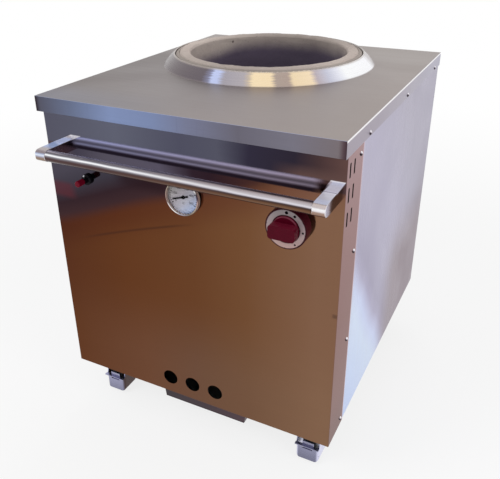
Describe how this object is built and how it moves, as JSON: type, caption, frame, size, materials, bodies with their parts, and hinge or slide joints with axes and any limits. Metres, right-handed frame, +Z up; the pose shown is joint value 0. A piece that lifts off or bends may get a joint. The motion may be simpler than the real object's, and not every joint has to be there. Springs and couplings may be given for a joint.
{
  "type": "gas tandoor oven",
  "caption": "Gas-fired clay tandoor in a stainless cabinet on castors, with a round pot mouth in the top, a front rail, a dial thermometer, a gas knob and an ash tray.",
  "frame": {"origin": "on the floor under the middle of the oven's bounding box", "axes": "+Z up, -Y towards the front with the handle and controls, +X to the right as seen from the front; the oven is narrowest along X"},
  "size_m": [0.706, 0.8712, 0.8775],
  "materials": {
    "cover": "brushed",
    "front": "polished, bronze cast",
    "side": "satin",
    "rear": "satin",
    "frame": "satin",
    "base": "satin",
    "screws": "polished",
    "collar": "spun and polished",
    "mortar": "matt",
    "clay": "unglazed",
    "wool": "matt",
    "drum": "satin",
    "cast": "as cast",
    "bar": "polished",
    "bracket": "satin",
    "bezel": "polished",
    "dial": "printed",
    "needle": "matt",
    "lens": "clear",
    "stem": "plain",
    "housing": "gloss",
    "ring": "satin",
    "knob": "satin gloss",
    "brass": "plain",
    "valve": "plain",
    "pipe": "drawn copper tube",
    "lines": "matt",
    "black": "gloss",
    "red": "gloss",
    "tray": "satin",
    "caster": "bright zinc",
    "pedal": "bright",
    "hub": "matt",
    "tyre": "matt"
  },
  "bodies": {
    "cabinet": {"top_cover": "cover", "front_panel": "front", "side_panel_left": "side", "side_panel_right": "side", "rear_panel": "rear", "base_plate": "base", "base_rails": "frame", "upper_frame": "frame", "bulkhead": "rear", "panel_screws": "screws", "collar": "collar", "mortar_ring": "mortar", "clay_pot": "clay", "insulation": "wool", "pot_drum": "drum", "pot_stand": "frame", "baffle_plate": "cast", "handle_bar": "bar", "handle_bracket_left": "bracket", "handle_bracket_right": "bracket", "handle_bolts": "screws", "thermometer_case": "bezel", "thermometer_dial": "dial", "thermometer_lens": "lens", "thermometer_stem": "stem", "locknuts": "brass", "knob_housing": "housing", "dial_ring": "ring", "gas_valve": "valve", "gas_inlet": "brass", "supply_pipe": "pipe", "burner_pipe": "pipe", "burner": "cast", "burner_bracket": "frame", "pilot_assembly": "stem", "pilot_lines": "lines", "igniter_body": "black", "tray_runners": "frame", "caster_plates": "caster", "caster_bolts": "screws"},
    "needle": {"thermometer_needle": "needle"},
    "plug": {"valve_plug": "brass"},
    "knob": {"knob": "knob", "valve_spindle": "brass"},
    "igniter_button": {"igniter_button": "red"},
    "ash_tray": {"ash_tray": "tray"},
    "fork_fl": {"fork_fl": "caster"},
    "wheel_fl": {"hub_fl": "hub", "tyre_fl": "tyre"},
    "fork_fr": {"fork_fr": "caster"},
    "wheel_fr": {"hub_fr": "hub", "tyre_fr": "tyre"},
    "fork_rl": {"fork_rl": "caster"},
    "wheel_rl": {"hub_rl": "hub", "tyre_rl": "tyre"},
    "fork_rr": {"fork_rr": "caster"},
    "wheel_rr": {"hub_rr": "hub", "tyre_rr": "tyre"},
    "pedal_fl": {"pedal_fl": "pedal"},
    "pedal_fr": {"pedal_fr": "pedal"}
  },
  "joints": [
    {"name": "needle_turn", "type": "hinge", "parent": "cabinet", "child": "needle", "pos_m": [0.006, -0.37867, 0.67], "axis": [0, 1, 0], "range_deg": [-22, 218]},
    {"name": "knob_turn", "type": "hinge", "parent": "cabinet", "child": "plug", "pos_m": [0.243, -0.37438, 0.658], "axis": [0, 1, 0], "range_deg": [0, 255]},
    {"name": "knob_push", "type": "slide", "parent": "plug", "child": "knob", "axis": [0, 1, 0], "range_m": [0, 0.0035], "stiffness_N_per_m": 800},
    {"name": "igniter_push", "type": "slide", "parent": "cabinet", "child": "igniter_button", "axis": [0, 1, 0], "range_m": [0, 0.01], "stiffness_N_per_m": 500},
    {"name": "tray_slide", "type": "slide", "parent": "cabinet", "child": "ash_tray", "axis": [0, -1, 0], "range_m": [0, 0.4]},
    {"name": "swivel_fl", "type": "hinge", "parent": "cabinet", "child": "fork_fl", "pos_m": [-0.282, -0.23237, 0.1], "axis": [0, 0, 1], "continuous": true},
    {"name": "wheel_fl_spin", "type": "hinge", "parent": "fork_fl", "child": "wheel_fl", "pos_m": [-0.282, -0.26737, 0.05], "axis": [1, 0, 0], "continuous": true},
    {"name": "swivel_fr", "type": "hinge", "parent": "cabinet", "child": "fork_fr", "pos_m": [0.282, -0.23237, 0.1], "axis": [0, 0, 1], "continuous": true},
    {"name": "wheel_fr_spin", "type": "hinge", "parent": "fork_fr", "child": "wheel_fr", "pos_m": [0.282, -0.26737, 0.05], "axis": [1, 0, 0], "continuous": true},
    {"name": "swivel_rl", "type": "hinge", "parent": "cabinet", "child": "fork_rl", "pos_m": [-0.282, 0.33363, 0.1], "axis": [0, 0, 1], "continuous": true},
    {"name": "wheel_rl_spin", "type": "hinge", "parent": "fork_rl", "child": "wheel_rl", "pos_m": [-0.282, 0.29862, 0.05], "axis": [1, 0, 0], "continuous": true},
    {"name": "swivel_rr", "type": "hinge", "parent": "cabinet", "child": "fork_rr", "pos_m": [0.282, 0.33363, 0.1], "axis": [0, 0, 1], "continuous": true},
    {"name": "wheel_rr_spin", "type": "hinge", "parent": "fork_rr", "child": "wheel_rr", "pos_m": [0.282, 0.29862, 0.05], "axis": [1, 0, 0], "continuous": true},
    {"name": "brake_fl", "type": "hinge", "parent": "fork_fl", "child": "pedal_fl", "pos_m": [-0.282, -0.30438, 0.094], "axis": [-1, 0, 0], "range_deg": [0, 25]},
    {"name": "brake_fr", "type": "hinge", "parent": "fork_fr", "child": "pedal_fr", "pos_m": [0.282, -0.30438, 0.094], "axis": [-1, 0, 0], "range_deg": [0, 25]}
  ]
}
